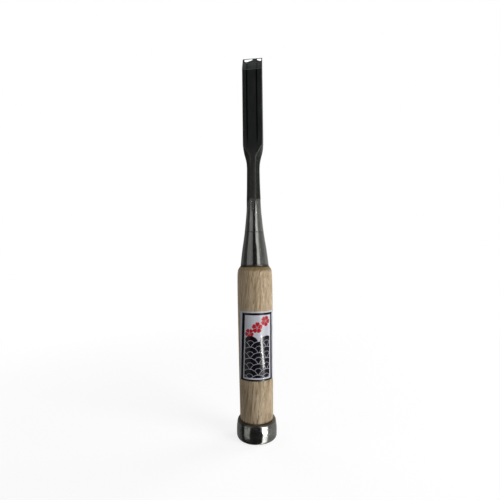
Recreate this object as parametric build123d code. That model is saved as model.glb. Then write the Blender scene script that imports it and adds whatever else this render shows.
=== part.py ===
from build123d import *
import math
import os

# Struck bench chisel of the tanged, hooped kind: a laminated blade whose tang is
# driven through a conical steel ferrule into a hardwood handle, with a steel hoop
# round the struck end and a paper label on the wood.
#
# Frame: Z is the tool's axis, +Z towards the cutting edge. Z = 0 is the struck end
# of the handle. -Y is the bevelled front of the blade, +Y its flat, hollowed back.
# All sizes are millimetres.

os.makedirs("parts", exist_ok=True)

# ---------------------------------------------------------------- driving sizes
# lengths along the axis
TOTAL_LENGTH = 230.5        # struck end to cutting edge
HANDLE_SHOULDER_Z = 102.8   # wood face that the ferrule's rear rim lands on
SEAM_Z = 123.1              # blade shoulder against the ferrule's +Z end
TENON_END_Z = 117.0         # +Z end of the conical wood tenon inside the ferrule

# blade
BLADE_WIDTH = 12.0
BACK_Y = 3.6                # plane of the flat back
BACK_FLAT_Z = 177.0         # where the neck's back has run into that plane
TIP_THICKNESS = 4.5         # at the cutting edge, if there were no bevel
ROOT_THICKNESS = 5.8        # at ROOT_Z
ROOT_Z = 176.0
FRONT_FLAT_Z = 169.2        # where the flat down the front begins
FLAT_HALF = 2.7             # half width of that flat
FACET_START_Z = 168.6       # where the side facets' cutters begin
EDGE_DROP = 0.35            # how far each side facet falls by the blade's edge
BEVEL_ANGLE = 27.0          # degrees, bevel to flat back

# hard steel layer on the back
STEEL_THICKNESS = 1.95
STEEL_START_Z = 178.0       # where its scarfed end meets the back
SCARF_RUN = 2.0             # length along Z per unit of depth

# hollow in the back
HOLLOW_WIDTH = 8.4
HOLLOW_DEPTH = 0.30
HOLLOW_LOW_Z = 181.5
HOLLOW_HIGH_Z = 225.6

# tang, square throughout, and its hole
TANG_ROOT = 5.7             # size at TANG_ROOT_Z
TANG_TIP = 3.4              # size at TANG_TAPER_Z
TANG_POINT = 1.2            # size at TANG_END_Z
TANG_ROOT_Z = SEAM_Z + 0.8  # sunk into the neck
TANG_TAPER_Z = 76.0         # where the tang starts to point
TANG_END_Z = 72.0
TANG_GAP = 0.03             # each side, in the mortise
MORTISE_END_Z = 70.0        # bottom of the square tang hole
PILOT_END_Z = 64.0          # bottom of the drilled pilot hole
PILOT_R = 1.5

# ferrule
FERRULE_HOLE_R = 4.15
FERRULE_WALL_Z = 120.9      # inner face of the wall at the +Z end
FERRULE_CONE_SMALL_R = 4.45
FERRULE_CONE_BIG_R = 7.15
TENON_GAP = 0.03

# handle ends
SEAT_R = 9.97               # the hoop's seat
STRUCK_CHAMFER = 0.5
SHOULDER_R = 8.70

# hoop
HOOP_BORE_R = 10.01
HOOP_HEIGHT = 11.6
HOOP_R = 12.15
HOOP_BORE_CHAMFER = 0.35    # at the struck end
HOOP_MOUTH_FLARE = 0.42     # radial growth of the bore at the +Z end
HOOP_MOUTH_DEPTH = 0.3

# label
LABEL_Z0, LABEL_Z1 = 36.2, 76.6
LABEL_WIDTH = 25.4
LABEL_WRAP_R = 10.5         # radius at which the width is measured
LABEL_ANGLE = 16.3          # degrees, of its middle, from the front towards +X
LABEL_TILT = 0.5            # degrees, of its two end edges off square
LABEL_LEAN = 2.1            # degrees, of its side edges
LABEL_THICK = 0.12
LABEL_GAP = 0.01

# cutting and trimming solids
OUT = 30.0                  # reach from the axis
FORM_START_Z = 122.5        # just short of the seam
FORM_END_Z = TOTAL_LENGTH + 2.0
EDGE_MARGIN = 4.0           # reach beyond the cutting edge
OVERLAP = 0.01

# ---------------------------------------------------------------------- outlines
# Neck and shoulders. Eight sides open into the blade through coved shoulders and
# fade into a round cone, which is the smallest form at the ferrule.

# (half width in X, z)
SIDE_W = [
    (6.7, FORM_START_Z), (5.95, 127.0), (5.08, 132.5), (4.52, 135.7), (4.34, 138.1),
    (4.22, 140.5), (4.13, 143.0), (3.98, 147.8), (3.86, 152.6), (3.79, 157.5),
    (3.77, 161.0), (3.92, 163.6), (4.22, 165.9), (4.50, 167.1), (4.86, 168.4),
    (5.19, 169.6), (5.48, 170.9), (5.72, 172.3), (5.88, 174.0), (5.97, 175.8),
    (BLADE_WIDTH / 2, 178.0),
]
# corner facets: (where the 45 degree facet would cross the X axis, z)
FRONT_CORNER = [
    (9.5, FORM_START_Z), (8.2, 128.0), (6.9, 133.0), (6.02, 138.0), (5.72, 143.0),
    (5.5, 149.0), (5.38, 156.0), (5.15, 160.0), (4.6, 164.0), (4.25, 166.5),
    (4.13, 168.0), (4.3, 169.2), (4.85, 170.4), (5.75, 172.0), (6.75, 174.0),
    (7.6, 175.7), (8.6, 178.0), (10.4, 182.5), (12.5, 188.0),
]
BACK_CORNER = [
    (9.5, FORM_START_Z), (8.2, 128.0), (6.9, 133.0), (5.85, 138.0), (5.5, 143.0),
    (5.25, 150.0), (5.12, 157.0), (5.1, 163.0), (5.2, 166.5), (5.42, 168.0),
    (5.85, 169.4), (6.6, 171.2), (7.5, 173.0), (8.6, 175.2), (9.8, 177.6),
    (11.5, 181.0), (13.5, 186.0),
]
# (y, z)
FRONT_NECK = [
    (-6.6, FORM_START_Z), (-5.8, 128.0), (-4.95, 132.6), (-4.35, 136.0), (-4.12, 140.0),
    (-3.98, 145.0), (-3.86, 150.0), (-3.78, 155.0), (-3.6, 159.5), (-3.05, 163.6),
    (-2.62, 166.4),
]
BACK_NECK = [
    (6.6, FORM_START_Z), (5.8, 128.0), (4.9, 132.6), (4.2, 136.0), (3.92, 140.0),
    (3.72, 145.0), (3.6, 150.0), (3.52, 156.0), (3.5, 163.0), (3.52, 170.0),
    (BACK_Y, BACK_FLAT_Z),
]
# Round forms: (radius, z)
CONE_R = [
    (5.80, 123.25), (5.70, 123.95), (5.46, 126.0), (5.19, 128.4), (4.94, 130.9),
    (4.70, 133.3), (4.49, 135.8), (4.38, 138.4), (4.37, 141.0), (4.46, 144.2),
    (4.74, 148.2), (5.3, 152.5), (6.4, 157.5),
]
FERRULE_R = [
    (8.53, 102.92), (8.27, 105.5), (7.87, 108.9), (7.44, 112.2), (6.98, 115.3),
    (6.52, 118.1), (6.12, 120.7), (5.925, 122.1), (5.815, 122.96),
]
HANDLE_R = [
    (SEAT_R, 15.2), (10.09, 24.0), (10.22, 36.0), (10.38, 54.0), (10.51, 70.0),
    (10.60, 82.0), (10.59, 90.0), (10.53, 96.0), (10.36, 99.3), (9.98, 100.9),
]
HOOP_WALL = [(11.74, 9.0), (12.05, 6.4), (HOOP_R, 3.8), (12.07, 1.7)]
HOOP_RIM = [HOOP_WALL[-1], (11.64, 0.5), (10.67, 0.0)]   # arc at the struck end
# rims beside the seam and the shoulder, completing their small chamfers
CONE_RIM_R = 5.66
FERRULE_FRONT_RIM_R = 5.68
FERRULE_REAR_RIM_R = 8.41


# ------------------------------------------------------------------ small tools
# Outlines are (u, z) pairs: u runs along the unit vector "across", z along the axis.
ALONG_X = (1, 0)
ALONG_Y = (0, 1)


def place(point, across=ALONG_X):
    u, z = point
    return Vector(u * across[0], u * across[1], z)


def curve(points, across=ALONG_X, tangents=None):
    """Smooth curve through the points, with optional end tangents."""
    if tangents is not None:
        tangents = [place(t, across) for t in tangents]
    return Spline(*[place(p, across) for p in points], tangents=tangents)


def straight(points, across=ALONG_X):
    """Straight edges from each point to the next."""
    return [Line(place(a, across), place(b, across)) for a, b in zip(points[:-1], points[1:])]


def curve_face(points, closing, across=ALONG_X, tangents=None):
    """Face bounded by a smooth curve, then by straight lines through closing."""
    corners = [points[-1], *closing, points[0]]
    return Face(Wire([curve(points, across, tangents)] + straight(corners, across)))


def prism(face, direction):
    """Extrudes a face by OUT both ways along a direction."""
    return extrude(face, amount=OUT, dir=direction, both=True)


def side_prism(points):
    """Prism along X from straight-sided (y, z) corners."""
    return prism(make_face(Polyline(*[place(p, ALONG_Y) for p in points], close=True)), (1, 0, 0))


def square_at(size, z):
    return Plane.XY.offset(z) * Rectangle(size, size)


# ------------------------------------------------------------------------ blade
front_slope = (ROOT_THICKNESS - TIP_THICKNESS) / (TOTAL_LENGTH - ROOT_Z)


def blade_front_y(z):
    """Y of the flat down the blade's front."""
    return BACK_Y - TIP_THICKNESS - front_slope * (TOTAL_LENGTH - z)


def inside_of(points, across, tangents=None):
    """Solid on the inner side of a curved surface that faces along across."""
    closing = [(points[-1][0], FORM_END_Z), (-OUT, FORM_END_Z), (-OUT, FORM_START_Z)]
    face = curve_face(points, closing, across, tangents)
    return prism(face, (-across[1], across[0], 0))


def side_view():
    """Blade and neck as seen along X, made solid."""
    flat_start = (blade_front_y(FRONT_FLAT_Z), FRONT_FLAT_Z)
    front = curve(FRONT_NECK + [flat_start], ALONG_Y, tangents=[(1, 6), (front_slope, 1)])
    back = curve(BACK_NECK, ALONG_Y, tangents=[(-1, 6), (0, 1)])
    blade_outline = [
        flat_start,
        (blade_front_y(FORM_END_Z), FORM_END_Z),
        (BACK_Y, FORM_END_Z),
        (BACK_Y, BACK_FLAT_Z),
    ]
    base = straight([BACK_NECK[0], FRONT_NECK[0]], ALONG_Y)
    return prism(Face(Wire([front, *straight(blade_outline, ALONG_Y), back, *base])), (1, 0, 0))


def neck_cone():
    """Round cone at the ferrule, opening wide so that it clears the blade."""
    closing = [
        (OUT, 178.0), (OUT, FORM_END_Z), (0, FORM_END_Z), (0, SEAM_Z), (CONE_RIM_R, SEAM_Z),
    ]
    return revolve(curve_face(CONE_R, closing), Axis.Z, 360)


def facet_cut(side):
    """Wedge in front of one side facet, from the shoulders to beyond the tip."""
    outer_x = 9.0
    height = 5.0
    fall = EDGE_DROP / (BLADE_WIDTH / 2 - FLAT_HALF) * (outer_x - FLAT_HALF)

    def wedge_at(z):
        y = blade_front_y(z)
        return make_face(Polyline(
            Vector(side * FLAT_HALF, y, z),
            Vector(side * outer_x, y + fall, z),
            Vector(side * outer_x, y - height, z),
            Vector(side * FLAT_HALF, y - height, z),
            close=True,
        ))

    return loft([wedge_at(FACET_START_Z), wedge_at(FORM_END_Z)], ruled=True)


def bevel_cut():
    """Everything beyond the cutting bevel."""
    front_y = -8.0
    run = (BACK_Y - front_y) / math.tan(math.radians(BEVEL_ANGLE))
    return side_prism([
        (BACK_Y, TOTAL_LENGTH),
        (front_y, TOTAL_LENGTH - run),
        (front_y, TOTAL_LENGTH + EDGE_MARGIN),
        (BACK_Y + EDGE_MARGIN, TOTAL_LENGTH + EDGE_MARGIN),
        (BACK_Y + EDGE_MARGIN, TOTAL_LENGTH),
    ])


def build_steel_form():
    """Whole blade and neck, before it is divided into iron and hard steel."""
    right = inside_of(SIDE_W, ALONG_X, tangents=[(-1, 4), (0, 1)])
    form = side_view() & right & mirror(right, Plane.YZ)
    diagonal = math.sqrt(0.5)
    for table, y_sign in ((FRONT_CORNER, -1), (BACK_CORNER, 1)):
        points = [(crossing * diagonal, z) for crossing, z in table]
        for x_sign in (1, -1):
            form = form & inside_of(points, (x_sign * diagonal, y_sign * diagonal))
    form = form & neck_cone()
    form = form - facet_cut(1) - facet_cut(-1)
    return form - bevel_cut()


def build_layer():
    """Block that takes the hard steel out of the form, scarfed at its -Z end."""
    width, depth, length = 20.0, 6.0, 64.0
    block = Pos(
        0,
        BACK_Y - STEEL_THICKNESS + depth / 2,
        TOTAL_LENGTH + EDGE_MARGIN - length / 2,
    ) * Box(width, depth, length)
    behind, within = 3.5, 4.0   # reach of the scarf cut either side of the back
    low_z = 160.0
    return block - side_prism([
        (BACK_Y + behind, STEEL_START_Z - SCARF_RUN * behind),
        (BACK_Y - within, STEEL_START_Z + SCARF_RUN * within),
        (BACK_Y - within, low_z),
        (BACK_Y + behind, low_z),
    ])


def build_hollow():
    """Long shallow hollow: a large cylinder within a round-ended slot."""
    radius = ((HOLLOW_WIDTH / 2) ** 2 + HOLLOW_DEPTH ** 2) / (2 * HOLLOW_DEPTH)
    round_cut = Pos(0, BACK_Y - HOLLOW_DEPTH + radius, 200.0) * Cylinder(radius, 80.0)
    reach = 2.0                 # of the slot either side of the back
    slot_plane = Plane(
        origin=(0, BACK_Y - reach, (HOLLOW_LOW_Z + HOLLOW_HIGH_Z) / 2),
        x_dir=(0, 0, 1),
        z_dir=(0, 1, 0),
    )
    slot = slot_plane * SlotOverall(HOLLOW_HIGH_Z - HOLLOW_LOW_Z, HOLLOW_WIDTH)
    return round_cut & extrude(slot, amount=2 * reach, dir=(0, 1, 0))


def build_blade():
    """Returns the iron body with its tang, and the hard steel layer."""
    form = build_steel_form()
    layer = build_layer()
    cutting_steel = (form & layer) - build_hollow()
    taper = square_at(TANG_TIP, TANG_TAPER_Z)
    tang = loft([square_at(TANG_ROOT, TANG_ROOT_Z), taper], ruled=True)
    tang_point = loft([taper, square_at(TANG_POINT, TANG_END_Z)], ruled=True)
    return (form - layer) + tang + tang_point, cutting_steel


# ---------------------------------------------------------------------- ferrule
def build_ferrule():
    closing = [
        (FERRULE_FRONT_RIM_R, SEAM_Z),
        (FERRULE_HOLE_R, SEAM_Z),
        (FERRULE_HOLE_R, FERRULE_WALL_Z),
        (FERRULE_CONE_SMALL_R, FERRULE_WALL_Z),
        (FERRULE_CONE_BIG_R, HANDLE_SHOULDER_Z),
        (FERRULE_REAR_RIM_R, HANDLE_SHOULDER_Z),
    ]
    return revolve(curve_face(FERRULE_R, closing), Axis.Z, 360)


# ----------------------------------------------------------------------- handle
def tenon_r(z):
    """Radius of the tenon, parallel to the ferrule's conical bore."""
    fall = (FERRULE_CONE_BIG_R - FERRULE_CONE_SMALL_R) / (FERRULE_WALL_Z - HANDLE_SHOULDER_Z)
    return FERRULE_CONE_BIG_R - fall * (z - HANDLE_SHOULDER_Z) - TENON_GAP


def mortise_size(z):
    """Side of the square hole round the tang's long taper."""
    t = (z - TANG_TAPER_Z) / (TANG_ROOT_Z - TANG_TAPER_Z)
    return TANG_TIP + t * (TANG_ROOT - TANG_TIP) + 2 * TANG_GAP


def build_handle():
    closing = [
        (SHOULDER_R, HANDLE_SHOULDER_Z),
        (tenon_r(HANDLE_SHOULDER_Z), HANDLE_SHOULDER_Z),
        (tenon_r(TENON_END_Z), TENON_END_Z),
        (0, TENON_END_Z),
        (0, 0),
        (SEAT_R - STRUCK_CHAMFER, 0),
        (SEAT_R, STRUCK_CHAMFER),
    ]
    face = curve_face(HANDLE_R, closing, tangents=[(0, 1), (-0.9, 1)])
    blank = revolve(face, Axis.Z, 360)

    mouth_z = TENON_END_Z + 1.0
    foot_size = mortise_size(TANG_TAPER_Z)
    mortise = loft([
        square_at(mortise_size(mouth_z), mouth_z),
        square_at(foot_size, TANG_TAPER_Z),
    ], ruled=True)
    foot = extrude(
        square_at(foot_size, MORTISE_END_Z),
        amount=TANG_TAPER_Z - MORTISE_END_Z + OVERLAP,
        dir=(0, 0, 1),
    )
    pilot = Pos(0, 0, (PILOT_END_Z + MORTISE_END_Z) / 2) * Cylinder(
        PILOT_R, MORTISE_END_Z - PILOT_END_Z + 2 * OVERLAP)
    return blank - mortise - foot - pilot


# ------------------------------------------------------------------------- hoop
def build_hoop():
    """The outer corner at the +Z end is a long quarter round that runs in almost to
    the wood; the wall swells slightly beyond it and the struck rim is rounded."""
    crest_r = HOOP_BORE_R + HOOP_MOUTH_FLARE
    wall_r, wall_z = HOOP_WALL[0]
    diagonal = math.radians(45)
    crest = [
        (crest_r, HOOP_HEIGHT),
        (crest_r + (wall_r - crest_r) * math.sin(diagonal),
         wall_z + (HOOP_HEIGHT - wall_z) * math.cos(diagonal)),
        (wall_r, wall_z),
    ]
    bore = [
        HOOP_RIM[-1],
        (HOOP_BORE_R + HOOP_BORE_CHAMFER, 0),
        (HOOP_BORE_R, HOOP_BORE_CHAMFER),
        (HOOP_BORE_R, HOOP_HEIGHT - HOOP_MOUTH_DEPTH),
        crest[0],
    ]
    return revolve(Face(Wire([
        ThreePointArc(*[place(p) for p in crest]),
        curve(HOOP_WALL, tangents=[(0.05, -1), (-0.12, -1)]),
        ThreePointArc(*[place(p) for p in HOOP_RIM]),
        *straight(bore),
    ])), Axis.Z, 360)


# ------------------------------------------------------------------------ label
def outward(angle):
    """Unit vector out of the handle, at an angle from the front towards +X."""
    a = math.radians(angle)
    return Vector(math.sin(a), -math.cos(a), 0)


def sideways(out, drop):
    """Unit vector square to out, round the handle, dropped towards -Z by an angle."""
    a = math.radians(drop)
    return Vector(-out.Y, out.X, 0) * math.cos(a) - Vector(0, 0, 1) * math.sin(a)


def build_label():
    """Thin paper wrapped on the handle, a little off square."""
    wrapped = HANDLE_R[:8]
    inner = [(r + LABEL_GAP, z) for r, z in wrapped]
    outer = [(r + LABEL_GAP + LABEL_THICK, z) for r, z in wrapped]
    tangents = [(0, 1), (-0.02, 1)]
    label = revolve(Face(Wire([
        curve(inner, tangents=tangents),
        *straight([inner[-1], outer[-1]]),
        curve(outer, tangents=tangents),
        *straight([outer[0], inner[0]]),
    ])), Axis.Z, 360)

    # end edges: a tilted slab
    centre = Vector(0, 0, (LABEL_Z0 + LABEL_Z1) / 2)
    middle = outward(LABEL_ANGLE)
    slab_plane = Plane(origin=centre, x_dir=sideways(middle, LABEL_TILT), z_dir=middle)
    slab_face = slab_plane * Rectangle(2 * OUT, LABEL_Z1 - LABEL_Z0)
    label = label & extrude(slab_face, amount=OUT, dir=middle)

    # side edges: radial planes, leaning a little
    cutter_size = 80.0
    half_angle = math.degrees(LABEL_WIDTH / 2 / LABEL_WRAP_R)
    for side in (-1, 1):
        edge_out = outward(LABEL_ANGLE + side * half_angle)
        away = sideways(edge_out, LABEL_LEAN) * side
        cutter_plane = Plane(origin=centre, x_dir=edge_out, z_dir=away)
        cutter_face = cutter_plane * Rectangle(cutter_size, cutter_size)
        label = label - extrude(cutter_face, amount=OUT, dir=away)
    return label


# ----------------------------------------------------------------------- output
blade_body, cutting_steel = build_blade()
for name, shape in {
    "blade_body": blade_body,
    "cutting_steel": cutting_steel,
    "ferrule": build_ferrule(),
    "handle": build_handle(),
    "hoop": build_hoop(),
    "label": build_label(),
}.items():
    # leave out slivers that the booleans may produce
    kept = [s for s in shape.solids() if s.volume > 1e-3]
    export_step(kept[0] if len(kept) == 1 else Compound(kept), f"parts/{name}.step")
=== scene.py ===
"""A Japanese bench chisel standing upright on its struck end, built in millimetres.

Z runs up the tool's axis: striking hoop at z = 0, oak handle, ferrule, neck, blade, and the
cutting edge at the top. The blade's flat back faces +Y; its front, the bevel and the paper
label face -Y, towards the camera. +X is on the viewer's right.
"""
import itertools
import math

import bmesh
import bpy
import numpy as np
from mathutils import Matrix, Vector


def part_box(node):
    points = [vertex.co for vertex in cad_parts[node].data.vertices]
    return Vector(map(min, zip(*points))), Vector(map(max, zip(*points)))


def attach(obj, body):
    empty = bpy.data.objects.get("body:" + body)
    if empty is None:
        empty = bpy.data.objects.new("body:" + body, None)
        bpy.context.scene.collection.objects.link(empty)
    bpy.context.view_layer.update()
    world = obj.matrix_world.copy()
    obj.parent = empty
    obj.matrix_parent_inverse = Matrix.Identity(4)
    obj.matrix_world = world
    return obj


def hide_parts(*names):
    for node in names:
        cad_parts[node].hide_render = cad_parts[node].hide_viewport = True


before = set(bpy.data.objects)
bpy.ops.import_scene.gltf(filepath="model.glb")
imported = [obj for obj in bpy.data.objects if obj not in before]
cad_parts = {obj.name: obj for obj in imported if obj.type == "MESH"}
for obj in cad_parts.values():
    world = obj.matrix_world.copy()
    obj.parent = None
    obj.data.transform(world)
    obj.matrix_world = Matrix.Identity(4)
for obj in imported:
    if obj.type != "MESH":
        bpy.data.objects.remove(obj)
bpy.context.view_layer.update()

MM = 0.001
TAU = 2.0 * math.pi


# ------------------------------------------------------------------ driving sizes, mm
def box_mm(name):
    low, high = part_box(name)
    return np.array(low) / MM, np.array(high) / MM


body_low, body_high = box_mm("blade_body")
steel_low, steel_high = box_mm("cutting_steel")
ferrule_low, ferrule_high = box_mm("ferrule")
hoop_high = box_mm("hoop")[1]

EDGE_Z = steel_high[2]           # cutting edge
SEAM_Z = ferrule_high[2]         # blade shoulder on the ferrule
RIM_Z = ferrule_low[2]           # ferrule's lower rim on the wood
TENON_Z = box_mm("handle")[1][2]  # top of the handle's tenon
TANG_Z = body_low[2]             # lower point of the tang
HALF_W = body_high[0]            # half the blade's width
BACK_Y = steel_high[1]           # plane of the flat back
STEEL_Z = steel_low[2]           # lower end of the hard steel
HOOP_H = hoop_high[2]
HOOP_R = hoop_high[0]

BEVEL = math.radians(27.0)
TIP_T, ROOT_T, ROOT_Z = 4.5, 5.8, 176.0       # blade thickness at the edge, and at ROOT_Z
FRONT_SLOPE = (ROOT_T - TIP_T) / (EDGE_Z - ROOT_Z)
FLAT_HALF, FACET_DROP = 2.7, 0.35             # front flat's half width, fall of the side facets
FACET_SLOPE = FACET_DROP / (HALF_W - FLAT_HALF)
FACET_Z = 168.6                               # the side facets start here
WELD_Y = BACK_Y - 1.95                        # the hard steel is 1.95 thick
SEAT_R, BORE_R = 9.97, 10.01                  # hoop's seat on the handle, hoop's bore
TANG_ROOT_Z, TANG_ROOT = 76.0, 3.4            # where the tang's point starts, its width there
TANG_TOP = 5.663                              # tang's width under the blade
FERRULE_HOLE_R = 4.15                         # tang's hole through the ferrule
BORE_TOP_R, BORE_TOP_Z, BORE_RIM_R = 4.45, 120.9, 7.15   # ferrule's conical bore


# ------------------------------------------------------------------ small maths
def smooth(start, end, x):
    t = np.clip((np.asarray(x, float) - start) / (end - start), 0, 1)
    return t * t * (3 - 2 * t)


def curve(table, z, last_slope=None):
    """Smooth curve through (value, z) pairs that doesn't overshoot; held beyond the ends."""
    values, stations = np.array(table, float).T
    rise = np.diff(values) / np.diff(stations)
    total = rise[:-1] + rise[1:]
    slopes = np.empty(len(values))
    slopes[1:-1] = np.where(rise[:-1] * rise[1:] > 0,
                            2 * rise[:-1] * rise[1:] / np.where(total == 0, 1, total), 0)
    slopes[0] = rise[0]
    slopes[-1] = rise[-1] if last_slope is None else last_slope
    z = np.asarray(z, float)
    i = np.clip(np.searchsorted(stations, z) - 1, 0, len(stations) - 2)
    span = stations[i + 1] - stations[i]
    t = np.clip((z - stations[i]) / span, 0, 1)
    return ((1 + 2 * t) * (1 - t) ** 2 * values[i] + t * (1 - t) ** 2 * span * slopes[i]
            + t * t * (3 - 2 * t) * values[i + 1] + t * t * (t - 1) * span * slopes[i + 1])


def hash3(ix, iy, iz, seed):
    """Repeatable 0..1 value for each lattice point."""
    n = ((ix.astype(np.int64) * 73856093) ^ (iy.astype(np.int64) * 19349663)
         ^ (iz.astype(np.int64) * 83492791) ^ np.int64(seed * 2654435761 % 2**31))
    n = (n ^ (n >> 13)) * np.int64(1274126177)
    n = n & np.int64(0x7FFFFFFF)
    return (n % 100003) / 100003.0


def noise3(x, y, z, seed):
    """Smooth value noise in -1..1."""
    spots = np.broadcast_arrays(*(np.asarray(c, float) for c in (x, y, z)))
    cells = [np.floor(c) for c in spots]
    parts = [c - cell for c, cell in zip(spots, cells)]
    ux, uy, uz = (f * f * f * (f * (f * 6 - 15) + 10) for f in parts)
    total = np.zeros(spots[0].shape)
    for a, b, c in itertools.product((0, 1), repeat=3):
        weight = (ux if a else 1 - ux) * (uy if b else 1 - uy) * (uz if c else 1 - uz)
        total += weight * hash3(cells[0] + a, cells[1] + b, cells[2] + c, seed)
    return total * 2 - 1


# ------------------------------------------------------------------ mesh building
def make_object(name, verts, faces, sharp, replaces, slot, body="chisel", **attributes):
    """Mesh object from mm points; sharp is the angle in degrees above which edges stay hard."""
    mesh = bpy.data.meshes.new(name)
    mesh.from_pydata([tuple(v) for v in verts.reshape(-1, 3) * MM], [], faces)
    for key, values in attributes.items():
        layer = mesh.attributes.new(key, "FLOAT", "POINT")
        layer.data.foreach_set("value", np.asarray(values, np.float32).ravel())
    mesh.update()
    ob = bpy.data.objects.new(name, mesh)
    bpy.context.scene.collection.objects.link(ob)
    bm = bmesh.new()
    bm.from_mesh(mesh)
    bmesh.ops.remove_doubles(bm, verts=bm.verts, dist=2e-4 * MM)
    bmesh.ops.dissolve_degenerate(bm, edges=bm.edges, dist=1e-5 * MM)
    bmesh.ops.recalc_face_normals(bm, faces=bm.faces)
    bm.to_mesh(mesh)
    bm.free()
    for face in mesh.polygons:
        face.use_smooth = True
    mesh.set_sharp_from_angle(angle=math.radians(sharp))
    mesh.update()
    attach(ob, body)
    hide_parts(replaces)
    return ob


def grid_faces(rows, cols, wrap, base=0, flip=False):
    faces = []
    for i in range(rows - 1):
        for j in range(cols if wrap else cols - 1):
            k = (j + 1) % cols
            lower, upper = base + i * cols, base + (i + 1) * cols
            face = (lower + j, lower + k, upper + k, upper + j)
            faces.append(face[::-1] if flip else face)
    return faces


def make_tube(name, rows, **settings):
    """Object from closed rings, skinned one to the next."""
    return make_object(name, rows, grid_faces(*rows.shape[:2], True), **settings)


def round_ring(angle, radius, z):
    return np.column_stack([np.sin(angle) * radius, -np.cos(angle) * radius,
                            np.full(len(angle), z)])


def square_ring(angle, size, z):
    x, y = np.sin(angle), -np.cos(angle)
    reach = size / 2 / np.maximum(np.abs(x), np.abs(y))
    return np.column_stack([x * reach, y * reach, np.full(len(angle), z)])


def revolve(profile, count):
    """Rings from an (r, z) profile, and the angle of each column from the front towards +X."""
    angle = np.arange(count) * TAU / count
    r, z = profile[:, 0][:, None], profile[:, 1][:, None]
    return np.stack([r * np.sin(angle), -r * np.cos(angle), z + 0 * angle], -1), angle


def push_out(points, amount, radius):
    """Moves points away from the axis, in place."""
    points[..., :2] *= (1 + amount / np.maximum(radius, 1e-6))[..., None]


def resample(points, step):
    out = [points[0]]
    for a, b in zip(points[:-1], points[1:]):
        n = max(1, int(math.ceil(math.dist(a, b) / step)))
        for k in range(1, n + 1):
            out.append((a[0] + (b[0] - a[0]) * k / n, a[1] + (b[1] - a[1]) * k / n))
    return out


def outline(table, heights, last_slope=None):
    return [(float(curve(table, z, last_slope)), float(z)) for z in heights]


# ------------------------------------------------------------------ blade, neck and tang
# Each table holds (value, z).
# half width
SIDE_X = [(6.7, 122.5), (5.95, 127.0), (5.08, 132.5), (4.52, 135.7), (4.34, 138.1),
          (4.22, 140.5), (4.13, 143.0), (3.98, 147.8), (3.86, 152.6), (3.79, 157.5),
          (3.77, 161.0), (3.92, 163.6), (4.22, 165.9), (4.50, 167.1), (4.86, 168.4),
          (5.19, 169.6), (5.48, 170.9), (5.72, 172.3), (5.88, 174.0), (5.97, 175.8),
          (6.0, 178.0)]
# x + |y| on the 45 degree corner facets, front then back
FRONT_CORNER = [(9.5, 122.5), (8.2, 128.0), (6.9, 133.0), (6.02, 138.0), (5.72, 143.0),
                (5.5, 149.0), (5.38, 156.0), (5.15, 160.0), (4.6, 164.0), (4.25, 166.5),
                (4.13, 168.0), (4.3, 169.2), (4.85, 170.4), (5.75, 172.0), (6.75, 174.0),
                (7.6, 175.7), (8.6, 178.0), (10.4, 182.5), (12.5, 188.0)]
BACK_CORNER = [(9.5, 122.5), (8.2, 128.0), (6.9, 133.0), (5.85, 138.0), (5.5, 143.0),
               (5.25, 150.0), (5.12, 157.0), (5.1, 163.0), (5.2, 166.5), (5.42, 168.0),
               (5.85, 169.4), (6.6, 171.2), (7.5, 173.0), (8.6, 175.2), (9.8, 177.6),
               (11.5, 181.0), (13.5, 186.0)]


def blade_front(z):
    return BACK_Y - TIP_T - FRONT_SLOPE * (EDGE_Z - z)


# y of the front and of the back
BLADE_Z = 169.2                  # the neck's front runs into the blade's here
FRONT_Y = [(-6.6, 122.5), (-5.8, 128.0), (-4.95, 132.6), (-4.35, 136.0), (-4.12, 140.0),
           (-3.98, 145.0), (-3.86, 150.0), (-3.78, 155.0), (-3.6, 159.5), (-3.05, 163.6),
           (-2.62, 166.4), (float(blade_front(BLADE_Z)), BLADE_Z)]
NECK_BACK_Y = [(6.6, 122.5), (5.8, 128.0), (4.9, 132.6), (4.2, 136.0), (3.92, 140.0),
               (3.72, 145.0), (3.6, 150.0), (3.52, 156.0), (3.5, 163.0), (3.52, 170.0),
               (BACK_Y, 177.0)]
# radius of the cone that rounds the neck's corners off
CONE_R = [(5.80, 123.25), (5.70, 123.95), (5.46, 126.0), (5.19, 128.4), (4.94, 130.9),
          (4.70, 133.3), (4.49, 135.8), (4.38, 138.4), (4.37, 141.0), (4.46, 144.2),
          (4.74, 148.2), (5.3, 152.5), (6.4, 157.5)]
CONE_END_Z = 157.5

FACET_POINTS = [9, 9, 9, 11, 7, 25, 7, 11, 9, 9]   # points along each facet of the section
FILLET_POINTS, FILLET_R = 5, 0.16
STRAIGHT_Z = 190.0               # above here the lines run straight to the bevel
TOP_ROWS = 40
LEAN_Y = 0.4                     # points in front of this follow the front's slope


def scarf_y(z):
    """The hard steel's lower end thins out along this slope."""
    return BACK_Y - (z - STEEL_Z) / 2.0


def bevel_z(y):
    return EDGE_Z - (BACK_Y - y) / math.tan(BEVEL)


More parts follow.
